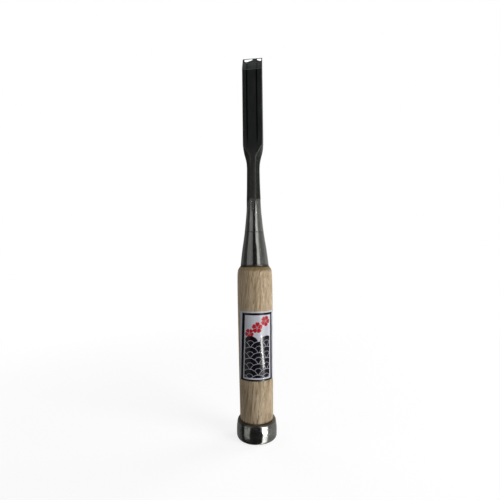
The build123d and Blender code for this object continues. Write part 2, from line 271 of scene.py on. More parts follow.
def section(z):
    """The steel's section as half-planes: (normal's angle from the front to +X, distance)."""
    side = float(curve(SIDE_X, z)) if z < 178.0 else HALF_W
    front = -float(curve(FRONT_Y, z)) if z < BLADE_Z else -blade_front(z)
    back = float(curve(NECK_BACK_Y, z, 0.0))
    tilt = math.atan(FACET_SLOPE)
    facet, side_y = 99.0, -front
    if z > FACET_Z:
        facet = FLAT_HALF * math.sin(tilt) + front * math.cos(tilt)
        side_y = -front + FACET_SLOPE * (side - FLAT_HALF)
    # fine breaks along the blade's long corners
    corner = min(float(curve(FRONT_CORNER, z)), side - side_y - 0.16) * math.sqrt(0.5)
    back_corner = min(float(curve(BACK_CORNER, z)), side + back - 0.07) * math.sqrt(0.5)
    return [(0.0, front), (tilt, facet), (math.pi / 4, corner), (math.pi / 2, side),
            (3 * math.pi / 4, back_corner), (math.pi, back), (5 * math.pi / 4, back_corner),
            (3 * math.pi / 2, side), (7 * math.pi / 4, corner), (TAU - tilt, facet)]


def ring(z):
    """Points round the section, as many at every z, and 1 for those on a rounded corner."""
    planes = section(z)
    n = len(planes)
    normal = np.array([(math.sin(a), -math.cos(a)) for a, _ in planes])
    along = np.array([(math.cos(a), math.sin(a)) for a, _ in planes])
    dist = np.array([p[1] for p in planes])
    # clip each plane's line against all the others
    low, high = np.full(n, -99.0), np.full(n, 99.0)
    for i in range(n):
        foot = normal[i] * dist[i]
        for j in range(n):
            if i == j:
                continue
            closing = normal[j] @ along[i]
            room = dist[j] - normal[j] @ foot
            if abs(closing) < 1e-9:
                if room < 0:
                    high[i] = low[i] - 1
            elif closing > 0:
                high[i] = min(high[i], room / closing)
            else:
                low[i] = max(low[i], room / closing)
    active = [i for i in range(n) if high[i] - low[i] > 1e-4]
    start, end = [None] * n, [None] * n
    for i in active:
        start[i] = normal[i] * dist[i] + along[i] * low[i]
        end[i] = normal[i] * dist[i] + along[i] * high[i]
    # a facet that is cut away shrinks to the end of the one before it
    for i in range(n):
        if i not in active:
            k = (i - 1) % n
            while k not in active:
                k = (k - 1) % n
            start[i] = end[i] = end[k]
    trim = [min(FILLET_R, 0.42 * float(np.linalg.norm(b - a))) for a, b in zip(start, end)]
    points, near = [], []
    for i in range(n):
        first, last = start[i] + along[i] * trim[i], end[i] - along[i] * trim[i]
        for s in np.linspace(0, 1, FACET_POINTS[i]):
            points.append(first + (last - first) * s)
            near.append(1.0 if s in (0.0, 1.0) else 0.0)
        k = (i + 1) % n
        following = start[k] + along[k] * trim[k]
        for s in np.linspace(0, 1, FILLET_POINTS)[1:-1]:
            points.append((1 - s) ** 2 * last + 2 * s * (1 - s) * end[i] + s * s * following)
            near.append(1.0)
    return np.array(points), np.array(near)


def lean(y, z, front):
    """The front face drifts towards the back as it rises."""
    return np.where(front, y + FRONT_SLOPE * (z - STRAIGHT_Z), y)


def steel_form():
    """Rings of neck and blade before the weld's seat is cut, and their corner marks."""
    heights = np.concatenate([np.array([123.25, 123.6, 123.95, 124.3]),
                              np.arange(124.8, 160.0, 0.6), np.arange(160.0, 182.0, 0.3),
                              np.arange(182.0, 190.0, 1.0)])
    rows, near_rows = [], []
    for z in heights:
        points, near = ring(float(z))
        if z < CONE_END_Z:
            cone = float(curve(CONE_R, z))
            radius = np.hypot(points[:, 0], points[:, 1])
            near = near * smooth(-0.02, 0.10, cone - radius)
            points = points * np.minimum(1.0, cone / radius)[:, None]
        rows.append(np.column_stack([points, np.full(len(points), z)]))
        near_rows.append(near)
    points, near = ring(STRAIGHT_Z)
    x, y = points.T
    end_z = bevel_z(y)
    for _ in range(4):
        end_z = bevel_z(lean(y, end_z, y < LEAN_Y))
    for t in np.linspace(0, 1, TOP_ROWS):
        z = STRAIGHT_Z + (end_z - STRAIGHT_Z) * t
        rows.append(np.column_stack([x, lean(y, z, y < LEAN_Y), z]))
        near_rows.append(near)
    return np.array(rows), np.array(near_rows)


def cut_seat(form):
    """The iron: the form with its back cut down to the weld."""
    iron = form.copy()
    seat = np.where(iron[..., 2] > STEEL_Z, np.maximum(WELD_Y, scarf_y(iron[..., 2])), 99.0)
    iron[..., 1] = np.minimum(iron[..., 1], seat)
    # columns of the back meet the bevel plane at the weld
    top_y = form[-TOP_ROWS:, :, 1]
    share = np.linspace(0, 1, TOP_ROWS)[:, None]
    for _ in range(3):
        z = STRAIGHT_Z + (bevel_z(iron[-1, :, 1]) - STRAIGHT_Z)[None, :] * share
        y = lean(top_y[0], z, top_y < LEAN_Y)
        iron[-TOP_ROWS:, :, 2] = z
        iron[-TOP_ROWS:, :, 1] = np.minimum(y, np.maximum(WELD_Y, scarf_y(z)))
    return iron


def roughen(iron):
    """Very slight hand-ground unevenness, none near the joints."""
    x, y, z = (iron[..., k].copy() for k in range(3))
    depth = 0.02 * smooth(124.5, 128, z) * (1 - smooth(EDGE_Z - 12, EDGE_Z - 8, z))
    wobble = (noise3(x * 0.35, y * 0.35, z * 0.16, 5)
              + 0.5 * noise3(x * 0.9, y * 0.9, z * 0.45, 6))
    radius = np.hypot(x, y) + 1e-9
    neck = z < 168
    shift = np.where((y < BACK_Y - 2.2) | neck, depth * wobble, 0.0)
    iron[..., 0] += x / radius * shift * np.where(neck, 1.0, 0.0)
    iron[..., 1] += np.where(neck, y / radius, -1.0) * shift


def tang_rings(angle):
    """A square taper with a short point, then the round shoulder on the ferrule."""
    tip = 1.2
    rings = [round_ring(angle, 0.0, TANG_Z), square_ring(angle, tip, TANG_Z)]
    rings += [square_ring(angle, tip + (TANG_ROOT - tip) * t, TANG_Z + 4.0 * t)
              for t in (0.33, 0.66)]
    rings += [square_ring(angle, TANG_ROOT + (TANG_TOP - TANG_ROOT) * t,
                          TANG_ROOT_Z + (SEAM_Z - TANG_ROOT_Z) * t)
              for t in np.linspace(0, 1, 24)]
    inner = square_ring(angle, TANG_TOP, SEAM_Z)
    outer = round_ring(angle, 5.66, SEAM_Z)
    return rings + [inner] + [inner + (outer - inner) * t for t in (0.33, 0.66, 1.0)]


def build_blade():
    form, near = steel_form()
    iron = cut_seat(form)
    roughen(iron)
    tang = np.array(tang_rings(np.arctan2(form[0, :, 0], -form[0, :, 1])))
    # cap on the bevel plane, in towards the middle of the outline
    rim = iron[-1]
    mid_y = (rim[:, 1].min() + rim[:, 1].max()) / 2
    middle = np.array([0.0, mid_y, bevel_z(mid_y)])
    caps = np.array([rim + (middle - rim) * t for t in (0.12, 0.3, 0.5, 0.7, 0.85, 1.0)])
    rows = np.concatenate([tang, iron, caps])
    edge = np.concatenate([np.zeros(tang.shape[:2]), near, np.zeros(caps.shape[:2])])
    heel = np.zeros(rows.shape[:2])
    heel[-len(caps) - 1] = 1.0
    return make_tube("blade_and_neck", rows, sharp=22, replaces="blade_body",
                     slot="blade_iron", edge=edge, heel=heel)


# ------------------------------------------------------------------ hard steel layer
HOLLOW_R, HOLLOW_DEPTH = 4.2, 0.30
HOLLOW_LOW, HOLLOW_HIGH = 181.5 + HOLLOW_R, EDGE_Z - 5.2 - HOLLOW_R   # centres of its ends


def hollow(x, z):
    """Depth of the long, round-ended hollow in the flat back."""
    beyond = np.where(z > HOLLOW_HIGH, z - HOLLOW_HIGH,
                      np.where(z < HOLLOW_LOW, HOLLOW_LOW - z, 0.0))
    depth = HOLLOW_DEPTH * (1 - (np.sqrt(x ** 2 + beyond ** 2) / HOLLOW_R) ** 2)
    return np.where(depth > 0, depth, 0.0)


def build_hard_steel():
    across = np.linspace(-1, 1, 97)
    across = np.sign(across) * (1 - (1 - np.abs(across)) ** 1.15) * HALF_W
    foot_z = STEEL_Z + 0.06
    rise = np.linspace(0, 1, 190)[:, None]
    through = np.linspace(0, 1, 15)

    z = foot_z + (EDGE_Z - foot_z) * rise + 0 * across
    x = across + 0 * z
    back = np.stack([x, BACK_Y - hollow(x, z), z], -1)
    z = foot_z + (bevel_z(WELD_Y) - foot_z) * rise + 0 * across
    weld = np.stack([x, np.maximum(WELD_Y, scarf_y(z)), z], -1)
    # honed face, a hair convex towards the edge
    y = WELD_Y + (BACK_Y - WELD_Y) * through[:, None] + 0 * across
    crown = 0.012 * np.sin(np.pi * through)[:, None]
    honed = np.stack([across + 0 * y, y - crown * math.cos(BEVEL),
                      bevel_z(y) + crown * math.sin(BEVEL)], -1)
    grids = [(back, 0.0), (weld, 0.0), (honed, 1.0)]
    for side in (0, -1):
        t = through[:, None, None]
        wall = weld[:, side][None] * (1 - t) + back[:, side][None] * t
        # the side wall's end meets the honed face point for point
        wall[:, -1] = honed[:, side]
        grids.append((wall, 0.0))
    grids.append((np.stack([weld[0] * (1 - t) + back[0] * t for t in through]), 0.0))

    verts, faces, band, base = [], [], [], 0
    for grid, mark in grids:
        rows, cols = grid.shape[:2]
        verts.append(grid.reshape(-1, 3))
        band.append(np.full(rows * cols, mark))
        faces += grid_faces(rows, cols, False, base)
        base += rows * cols
    return make_object("hard_steel_layer", np.concatenate(verts), faces, sharp=14,
                       replaces="cutting_steel", slot="hard_steel", band=np.concatenate(band))


# ------------------------------------------------------------------ ferrule
# outer (radius, z)
FERRULE_R = [(8.53, 102.92), (8.27, 105.5), (7.87, 108.9), (7.44, 112.2), (6.98, 115.3),
             (6.52, 118.1), (6.12, 120.7), (5.925, 122.1), (5.815, 122.96)]


def build_ferrule():
    """A ground cone with a bored inside."""
    hole, bore_top, bore_rim = FERRULE_HOLE_R, (BORE_TOP_R, BORE_TOP_Z), (BORE_RIM_R, RIM_Z)
    profile = np.array(
        resample([(hole, BORE_TOP_Z), bore_top], 0.3)[:-1]
        + resample([bore_top, bore_rim], 0.8)[:-1]
        + resample([bore_rim, (8.37, RIM_Z)], 0.3) + [(8.46, RIM_Z + 0.03), (8.515, RIM_Z + 0.08)]
        + outline(FERRULE_R, np.linspace(102.92, 122.96, 84)) + [(5.78, 123.03), (5.72, 123.085)]
        + resample([(5.66, SEAM_Z), (hole, SEAM_Z)], 0.3)
        + resample([(hole, SEAM_Z - 0.5), (hole, BORE_TOP_Z)], 0.6))
    points, angle = revolve(profile, 288)
    r, z = profile.T
    outside = ((r > 5.80) & (z > RIM_Z + 0.1) & (r >= curve(FERRULE_R, z) - 0.02)) * 1.0
    z = points[..., 2]
    # lengthwise grinding flats, slightly winding, and one light ding
    turn = angle + 0.006 * np.sin(z * 0.35)
    relief = (0.010 * np.cos(11 * turn + 0.6) + 0.007 * np.cos(17 * turn + 2.1)
              + 0.005 * np.cos(29 * turn + 0.3))
    relief += 0.006 * noise3(angle * 14, 0, z * 0.12, 3)
    relief -= 0.010 + 0.03 * np.exp(-(((angle - 5.6) / 0.05) ** 2 + ((z - 108.0) / 0.35) ** 2))
    push_out(points, outside[:, None] * relief * smooth(102.9, 103.6, z),
             np.hypot(points[..., 0], points[..., 1]))
    rows = np.concatenate([points, points[:1]])
    return make_tube("steel_ferrule", rows, sharp=30, replaces="ferrule",
                     slot="ferrule_steel", rim=np.zeros(rows.shape[:2]))


# ------------------------------------------------------------------ hoop
HOOP_CREST_Z = 9.0               # the rounded upper edge starts here
HOOP_WALL_R = [(12.07, 1.7), (HOOP_R - 0.01, 3.8), (12.05, 6.4), (11.74, HOOP_CREST_Z)]
HOOP_RIM = [(12.07, 1.7), (11.98, 0.75), (11.47, 0.08), (10.67, 0.0)]   # Bezier (r, z) points


def build_hoop():
    """Forged ring, hammered by hand."""
    crest_r = BORE_R + 0.42
    crest = [(crest_r + (11.74 - crest_r) * math.sin(math.radians(t)),
              HOOP_CREST_Z + (HOOP_H - HOOP_CREST_Z) * math.cos(math.radians(t)))
             for t in np.linspace(0, 90, 15)]
    wall = outline(HOOP_WALL_R, np.linspace(HOOP_CREST_Z, 1.7, 24), -0.18)
    rim = []
    for t in np.linspace(0, 1, 13)[1:]:
        weights = [(1 - t) ** 3, 3 * t * (1 - t) ** 2, 3 * t * t * (1 - t), t ** 3]
        rim.append(tuple(sum(w * p[k] for w, p in zip(weights, HOOP_RIM)) for k in (0, 1)))
    outer = crest + wall[1:] + rim
    profile = np.array(
        outer + [(10.52, 0.0), (BORE_R + 0.35, 0.0), (BORE_R + 0.22, 0.06),
                 (BORE_R + 0.06, 0.22), (BORE_R, 0.4)]
        + [(BORE_R, float(z)) for z in np.linspace(0.9, HOOP_H - 0.4, 12)]
        + [(BORE_R + 0.1, HOOP_H - 0.15), (BORE_R + 0.25, HOOP_H - 0.03)])
    points, angle = revolve(profile, 320)
    z = points[..., 2]
    # the hammering fades out at both ends of the outer wall
    weight = np.zeros(len(profile))
    weight[:len(outer)] = 1
    weight[:3] = (0.0, 0.25, 0.6)
    weight[len(outer) - 4:len(outer)] = (0.8, 0.5, 0.25, 0.0)
    weight = weight[:, None]
    rng = np.random.default_rng(7)
    relief = 0.028 * np.cos(3 * angle + 0.4) + 0.02 * np.cos(5 * angle + 1.9)
    for _ in range(90):
        dent_angle, dent_z = rng.uniform(0, TAU), rng.uniform(-0.5, 11.5)
        size, depth = rng.uniform(1.2, 2.6), rng.uniform(0.012, 0.045)
        off = (angle - dent_angle + math.pi) % TAU - math.pi
        reach = (off * 11.9 / size) ** 2 + ((z - dent_z) / (size * 1.2)) ** 2
        relief = relief - depth * np.exp(-reach ** 1.6)
    relief += 0.006 * noise3(np.sin(angle) * 9, np.cos(angle) * 9, z * 0.7, 9)
    push_out(points, weight * relief, np.hypot(points[..., 0], points[..., 1]))
    # the crest is uneven in height
    top = np.exp(-((z - HOOP_H) / 0.9) ** 2) * weight
    points[..., 2] += (top * 0.05 * (np.cos(2 * angle + 0.7) - 1)
                       - top * 0.02 * np.cos(9 * angle))
    return make_tube("hammered_hoop", np.concatenate([points, points[:1]]), sharp=35,
                     replaces="hoop", slot="hoop_steel", body="striking_hoop")


# ------------------------------------------------------------------ handle
# (radius, z)
HANDLE_R = [(SEAT_R, 15.2), (10.09, 24.0), (10.22, 36.0), (10.38, 54.0), (10.51, 70.0),
            (10.60, 82.0), (10.59, 90.0), (10.53, 96.0), (10.36, 99.3), (9.98, 100.9)]
TENON_R = 7.12                                                # at RIM_Z
TENON_TAPER = (BORE_RIM_R - BORE_TOP_R) / (BORE_TOP_Z - RIM_Z)
HOLE_GAP = 0.06                                               # tang hole's extra width


def tang_hole(angle):
    """Rings of the hole from the tenon's top down to its closed end."""
    rings = []
    for z in np.linspace(TENON_Z, TANG_ROOT_Z, 24):
        share = (z - TANG_ROOT_Z) / (SEAM_Z + 0.8 - TANG_ROOT_Z)
        rings.append(square_ring(angle, TANG_ROOT + share * 2.3 + HOLE_GAP, z))
    rings += [square_ring(angle, TANG_ROOT + HOLE_GAP, z) for z in (74.0, 72.0, 70.0)]
    rings += [round_ring(angle, 1.5, z) for z in (70.0, 67.0, 64.0)]
    return np.array(rings + [round_ring(angle, 0.0, 64.0)])


def build_handle():
    """Turned oak with a conical tenon; all relief is cut in, never proud."""
    profile = np.array(
        [(0.0, 0.0)] + resample([(0.4, 0.0), (SEAT_R - 0.55, 0.0)], 0.7)
        + [(SEAT_R - 0.3, 0.06), (SEAT_R - 0.1, 0.2), (SEAT_R, 0.5)]
        + resample([(SEAT_R, 0.9), (SEAT_R, 14.8)], 0.9)
        + outline(HANDLE_R, np.linspace(15.2, 100.6, 214)) + [(9.98, 100.93), (9.85, 101.15)]
        + resample([(9.65, 101.4), (8.77, RIM_Z - 0.12)], 0.25)
        + [(8.66, RIM_Z - 0.03), (8.5, RIM_Z)] + resample([(8.2, RIM_Z), (TENON_R, RIM_Z)], 0.4)
        + resample([(TENON_R - TENON_TAPER * 0.5, RIM_Z + 0.5),
                    (TENON_R - TENON_TAPER * (TENON_Z - RIM_Z), TENON_Z)], 1.2))
    points, angle = revolve(profile, 360)
    z = points[..., 2]
    radius = np.hypot(points[..., 0], points[..., 1])
    r = profile[:, :1]
    shown = smooth(15.4, 17.0, z) * (1 - smooth(102.0, 102.7, z)) * (r > 8.4)
    # open pores run with the grain, which slants a little
    turn = angle + (z - 60) * 0.0016
    arc = turn * 10.3
    pore = noise3(arc * 2.3, 0, z * 0.13, 21)
    belt = 0.5 + 0.5 * noise3(arc * 0.42, 0, z * 0.012, 22)
    pores = 0.05 * smooth(0.30, 0.75, pore) * (0.35 + 0.65 * belt)
    fine = 0.012 * (0.5 + 0.5 * noise3(arc * 4.2, 0, z * 0.35, 23))
    broad = noise3(np.sin(angle) * 1.3, np.cos(angle) * 1.3, z * 0.08, 24)
    lathe = (0.010 * (0.5 + 0.5 * np.sin(z * 2.4 + 0.6 * np.sin(turn * 3)))
             + 0.02 * (0.5 + 0.5 * broad))
    push_out(points, -shown * (pores + fine + lathe), radius)
    # the chamfer is scraped by hand: its upper and lower limits wander
    chamfer = np.exp(-((z - 101.0) / 1.2) ** 2) * (r > 8.4)
    wander = 0.5 + 0.5 * noise3(np.sin(angle) * 2.1, np.cos(angle) * 2.1, 0, 25)
    push_out(points, -chamfer * 0.05 * wander, radius)
    # end grain: faint radial checks
    end = (profile[:, 1:] < 0.01) & (r < SEAT_R - 0.6) & (r > 0.3)
    checks = 0.03 * smooth(0.4, 0.8, noise3(angle * 6, 0, radius * 0.2, 26))
    points[..., 2] += np.where(end, checks, 0.0)
    return make_tube("oak_handle", np.concatenate([points, tang_hole(angle)]), sharp=30,
                     replaces="handle", slot="oak")


# ------------------------------------------------------------------ label
LABEL_MID = math.radians(16.3)   # its middle, from the front towards +X
LABEL_W, LABEL_H, LABEL_Z = 25.4, 40.4, 56.4
WRAP_R, PAPER_T = 10.5, 0.11
TILT, LEAN = math.radians(0.5), math.radians(2.1)


def build_label():
    """Thin wrapped paper; pu and pv carry the flat sheet's coordinates for the print."""
    cols, rows = 131, 201
    u, v = np.meshgrid(np.linspace(-LABEL_W / 2, LABEL_W / 2, cols),
                       np.linspace(-LABEL_H / 2, LABEL_H / 2, rows))
    # cut edges are not quite straight
    cut_u = (u + 0.06 * noise3(v * 0.2, 0, 0, 31) * np.sign(u)
             * smooth(LABEL_W / 2 - 0.6, LABEL_W / 2, np.abs(u)))
    cut_v = (v + 0.05 * noise3(u * 0.2, 3, 0, 32) * np.sign(v)
             * smooth(LABEL_H / 2 - 0.6, LABEL_H / 2, np.abs(v)))
    z = LABEL_Z + (cut_v - WRAP_R * np.sin(cut_u / WRAP_R) * math.tan(TILT))
    angle = LABEL_MID + (cut_u + cut_v * math.tan(LEAN)) / WRAP_R
    # edges stand off the wood by a hair, mostly at the corners
    in_u, in_v = LABEL_W / 2 - np.abs(u), LABEL_H / 2 - np.abs(v)
    corner = np.exp(-(np.hypot(np.clip(in_u, 0, None), np.clip(in_v, 0, None)) / 1.6) ** 2)
    side_lift = 0.5 + 0.5 * noise3(0, v * 0.25, np.sign(u), 33)
    end_lift = 0.5 + 0.5 * noise3(u * 0.3, 0, np.sign(v), 34)
    lift = (0.010 + 0.05 * np.exp(-(in_u / 0.5) ** 2) * side_lift
            + 0.04 * np.exp(-(in_v / 0.5) ** 2) * end_lift + 0.10 * corner)
    wave = (0.012 * (0.5 + 0.5 * noise3(u * 0.35, v * 0.12, 0, 35))
            + 0.010 * (0.5 + 0.5 * noise3(u * 0.9, v * 0.5, 0, 36)))
    skins = []
    for thickness in (PAPER_T, 0.0):
        r = curve(HANDLE_R, z) + lift + wave + thickness
        skins.append(np.stack([r * np.sin(angle), -r * np.cos(angle), z], -1))
    # outer skin, underside, and the strip that joins them round the rim
    under = cols * rows
    faces = grid_faces(rows, cols, False) + grid_faces(rows, cols, False, under, True)
    loop = ([(0, j) for j in range(cols)] + [(i, cols - 1) for i in range(1, rows)]
            + [(rows - 1, j) for j in range(cols - 2, -1, -1)]
            + [(i, 0) for i in range(rows - 2, 0, -1)])
    for (i0, j0), (i1, j1) in zip(loop, loop[1:] + loop[:1]):
        a, b = i0 * cols + j0, i1 * cols + j1
        faces.append((b, a, a + under, b + under))
    return make_object("paper_label", np.concatenate(skins), faces, sharp=50, replaces="label",
                       slot="label_paper", pu=np.tile(u.ravel(), 2), pv=np.tile(v.ravel(), 2))


# ------------------------------------------------------------------ shader helpers
def operation(name):
    return lambda self, *others: self.net.math(name, self, *others)


class Value:
    """A node's output that can be used in arithmetic; each step makes a Math node."""

    def __init__(self, net, socket):
        self.net, self.socket = net, socket

    __add__ = __radd__ = operation("ADD")
    __sub__ = operation("SUBTRACT")
    __mul__ = __rmul__ = operation("MULTIPLY")
    __truediv__ = operation("DIVIDE")
    __pow__ = operation("POWER")
    abs = operation("ABSOLUTE")
    min = operation("MINIMUM")
    max = operation("MAXIMUM")
    sin = operation("SINE")
    cos = operation("COSINE")
    asin = operation("ARCSINE")
    atan2 = operation("ARCTAN2")
    lt = operation("LESS_THAN")
    gt = operation("GREATER_THAN")
    sqrt = operation("SQRT")
    fract = operation("FRACT")
    wrap = operation("WRAP")       # takes the upper limit, then the lower

    def __rsub__(self, other):
        return self.net.math("SUBTRACT", other, self)

    def __neg__(self):
        return self * -1.0

    def inv(self):
        return 1.0 - self

    def sat(self):
        """Held within 0..1."""
        return self.net.math("ADD", self, 0.0, clamp=True)

    def sway(self, size):
        """A 0..1 noise turned into a swing about zero, size from end to end."""
        return (self - 0.5) * size

    def fade(self, off, on):
        """Smooth mask: 0 where the value is off, 1 where it is on."""
        return self.net.node("MapRange", {"Value": self, "From Min": off, "From Max": on},
                             "Result", interpolation_type="SMOOTHSTEP")

    def choose(self, zero, one):
        """Colour mix with this mask as factor."""
        return self.net.node("Mix", {0: self, 6: zero, 7: one}, 2, data_type="RGBA")

    def tint(self, colour, mask, by=None):
        """This colour covered with another where the mask says, at strength by."""
        amount = mask if by is None else mask * by
        return amount.sat().choose(self, colour)

    def ramp(self, *stops):
        """Colour ramp from (position, colour) stops."""
        made = self.net.tree.nodes.new("ShaderNodeValToRGB")
        self.net.put(made.inputs[0], self)
        elements = made.color_ramp.elements
        while len(elements) > 1:
            elements.remove(elements[-1])
        elements[0].position, elements[0].color = stops[0][0], (*stops[0][1], 1)
        for position, colour in stops[1:]:
            elements.new(position).color = (*colour, 1)
        return Value(self.net, made.outputs[0])


class Net:
    """Builds a node tree; shading functions take one and return its final shader."""

    PRINCIPLED = {"color": "Base Color", "rough": "Roughness", "metal": "Metallic",
                  "normal": "Normal", "coat": "Coat Weight", "coat_rough": "Coat Roughness",
                  "spec": "Specular IOR Level"}

    def __init__(self, tree):
        self.tree = tree
        tree.nodes.clear()

    def put(self, socket, value):
        if isinstance(value, Value):
            self.tree.links.new(value.socket, socket)
        else:
            socket.default_value = (*value, 1.0) if isinstance(value, tuple) else value

    def node(self, kind, inputs, output=0, **settings):
        made = self.tree.nodes.new("ShaderNode" + kind)
        for key, setting in settings.items():
            setattr(made, key, setting)
        for key, value in inputs.items():
            self.put(made.inputs[key], value)
        return Value(self, made.outputs[output]) if output is not None else made

    def math(self, name, *args, clamp=False):
        return self.node("Math", dict(enumerate(args)), operation=name, use_clamp=clamp)

    def xyz(self, space="Object"):
        split = self.node("SeparateXYZ", {0: self.node("TexCoord", {}, space)}, None)
        return tuple(Value(self, out) for out in split.outputs[:3])

    def mm(self):
        return tuple(c * 1000.0 for c in self.xyz())

    def noise(self, at, per_mm=None, detail=3.0, rough=0.6):
        """Noise at three coordinates, each first multiplied by its frequency if given."""
        if per_mm:
            at = [c * frequency for c, frequency in zip(at, per_mm)]
        vector = self.node("CombineXYZ", dict(enumerate(at)))
        return self.node("TexNoise", {"Vector": vector, "Scale": 1.0, "Detail": detail,
                                      "Roughness": rough}, "Fac")

    def attr(self, name):
        return self.node("Attribute", {}, "Fac", attribute_name=name)

    def bump(self, height, strength, distance, **normal):
        """Bump with its distance in metres; a Normal to build on may be given."""
        return self.node("Bump", {"Height": height, "Strength": strength,
                                  "Distance": distance, **normal})

    def principled(self, **look):
        return self.node("BsdfPrincipled", {self.PRINCIPLED[k]: v for k, v in look.items()})

    def finish(self, kind, shader):
        self.node(kind, {0: shader}, None)


def paint(ob, name, shade):
    material = bpy.data.materials.new(name)
    material.use_nodes = True
    net = Net(material.node_tree)
    net.finish("OutputMaterial", shade(net))
    ob.data.materials.append(material)


# ------------------------------------------------------------------ forged and ground steel
def dark_lines(x):
    """Shade just outside the flat down the blade's front, along both side facets."""
    left = (x + 3.15).abs().fade(off=0.75, on=0.10)
    right = (x - 2.85).abs().fade(off=0.65, on=0.10)
    return (left + right).sat()


def up_bevel(y):
    """Distance from the cutting edge along the bevel."""
    return -(y - BACK_Y) / math.sin(BEVEL)


def forged_blade(net):
    here = x, y, z = net.mm()
    # fine lengthwise brushing, broad cloudiness and small specks, each about 0..1
    brush = net.noise((x, y, z * 0.25), (9, 9, 1))
    broad = net.noise(here, (0.5, 0.5, 0.12), rough=0.55)
    specks = net.noise(here, (3.2, 3.2, 2.2), detail=4, rough=0.7)

    # bright ground steel from the ferrule up to a ragged line, black scale above it
    ground_end = (142.8 + x.fade(off=-1.6, on=0.6).inv() * 0.35
                  - x.fade(off=-1.7, on=-2.6) * 1.5
                  + net.noise(here, (0.8, 0.8, 0.4), detail=2, rough=0.5).sway(2.4))
    ground = (z - ground_end).fade(off=0.35, on=-0.35)
    # a patch of scale left in scratches just below that line, and a dark left rim
    scratch = net.noise((x + z * 0.55, y, z - x * 1.1), (1.3, 0.9, 0.95), rough=0.7)
    patch = (scratch.fade(off=0.49, on=0.60) * z.fade(off=135, on=139)
             * x.fade(off=0.9, on=-0.2))
    rim_dark = x.fade(off=-2.6, on=-3.4) * z.fade(off=137.6, on=139.6)
    ground = (ground * (patch * 0.42).inv() * (rim_dark * 0.85).inv()).sat()

    # where things are
    off_plane = y - BACK_Y + (-z + EDGE_Z) * math.tan(BEVEL)
    on_bevel = off_plane.abs().fade(off=0.06, on=0.02) * z.fade(EDGE_Z - 12.5, EDGE_Z - 11.5)
    corner = net.attr("edge")
    on_neck = z.fade(off=176, on=168)
    worn = net.noise(here, (1.1, 1.1, 0.55)).fade(off=0.40, on=0.66)
    wear = (corner * worn * z.fade(off=SEAM_Z + 8, on=SEAM_Z + 30)).sat() * on_neck
    shoulder = z.fade(off=160, on=168) * z.fade(off=181, on=175)
    front_lines = dark_lines(x) * y.fade(off=-0.2, on=-0.9) * z.fade(off=172, on=182)

    # black forge scale; on the neck a painted highlight runs down the ridge, with painted shade
    # on the faces beside it, deepest on the right face
    scale = (broad * 0.6 + specks * 0.4).ramp((0.30, (0.0145, 0.0165, 0.0158)),
                                              (0.55, (0.0230, 0.0260, 0.0248)),
                                              (0.75, (0.0365, 0.0385, 0.0360)))
    ridge = x.fade(off=0.3, on=0.9) * x.fade(off=2.1, on=1.6)
    ridge_highlight_colour = z.fade(off=166, on=159).choose((0.062, 0.063, 0.060), (0.128, 0.130, 0.121))
    face_shade_colour = x.fade(off=1.6, on=2.1).choose((0.050, 0.052, 0.048), (0.009, 0.010, 0.008))
    scale = scale.tint(ridge.choose(face_shade_colour, ridge_highlight_colour), on_neck, by=0.55)
    # file marks and thin spots in the scale on the neck
    rubbed = net.noise((x * 1.5 + z * 0.35, y * 1.5, z * 0.75), detail=4, rough=0.7)
    scale = scale.tint((0.085, 0.087, 0.081), rubbed.fade(off=0.52, on=0.66) * on_neck, by=0.55)
    scale = scale.tint((0.012, 0.013, 0.012), rubbed.fade(off=0.47, on=0.36) * on_neck, by=0.45)
    # bright worn corners on the neck, and painted highlights along the shoulder's corners
    coves = (x.abs().fade(off=3.0, on=3.5) + z.fade(off=171.8, on=170.2)).sat()
    scale = scale.tint((0.15, 0.15, 0.15), wear * 0.30 + corner * shoulder * coves * 0.50)
    scale = scale.tint((0.0005, 0.0008, 0.0008), front_lines, by=0.95)
    bright = (brush * 0.55 + broad * 0.45).ramp((0.30, (0.19, 0.19, 0.185)),
                                                (0.5, (0.29, 0.29, 0.285)),
                                                (0.72, (0.42, 0.42, 0.41)))

    # soft iron on the bevel: cloudy grey, lighter at the left, darker just past the weld
    climb = up_bevel(y)
    cloud = net.noise(here, (0.8, 1.2, 1.2), detail=4)
    iron = (cloud * 0.5 + (climb - 4.0) * 0.05 + 0.15).ramp((0.25, (0.155, 0.175, 0.181)),
                                                            (0.45, (0.096, 0.109, 0.114)),
                                                            (0.65, (0.058, 0.067, 0.069)))
    iron = iron.tint((0.18, 0.185, 0.185), x.fade(off=-3.5, on=-4.6), by=0.40)
    by_weld = climb.fade(off=5.5, on=4.9) * (x.fade(off=-3.6, on=-1.2) * 0.5 + 0.5)
    iron = iron.tint((0.036, 0.044, 0.047), by_weld, by=0.62)
    iron = iron.tint((0.020, 0.023, 0.025), dark_lines(x), by=0.80)
    heel = (net.attr("heel") * 0.7 + climb.fade(off=9.0, on=9.7) * 0.5).sat()

    col = on_bevel.choose(ground.choose(scale, bright), iron)
    col = col.tint((0.14, 0.145, 0.15), heel * on_bevel, by=0.55)
    seam = (z - SEAM_Z - 0.02).abs().fade(off=0.24, on=0.05)
    col = col.tint((0.03, 0.028, 0.026), seam, by=0.30)

    rough_scale = 0.38 + specks.sway(0.30) + broad.sway(0.15)
    rough_ground = 0.16 + brush.sway(0.16) + broad.sway(0.08) + patch * 0.25
    rough_iron = 0.50 + specks.sway(0.25)
    rough = rough_scale * ground.inv() + rough_ground * ground
    rough = rough * on_bevel.inv() + rough_iron * on_bevel
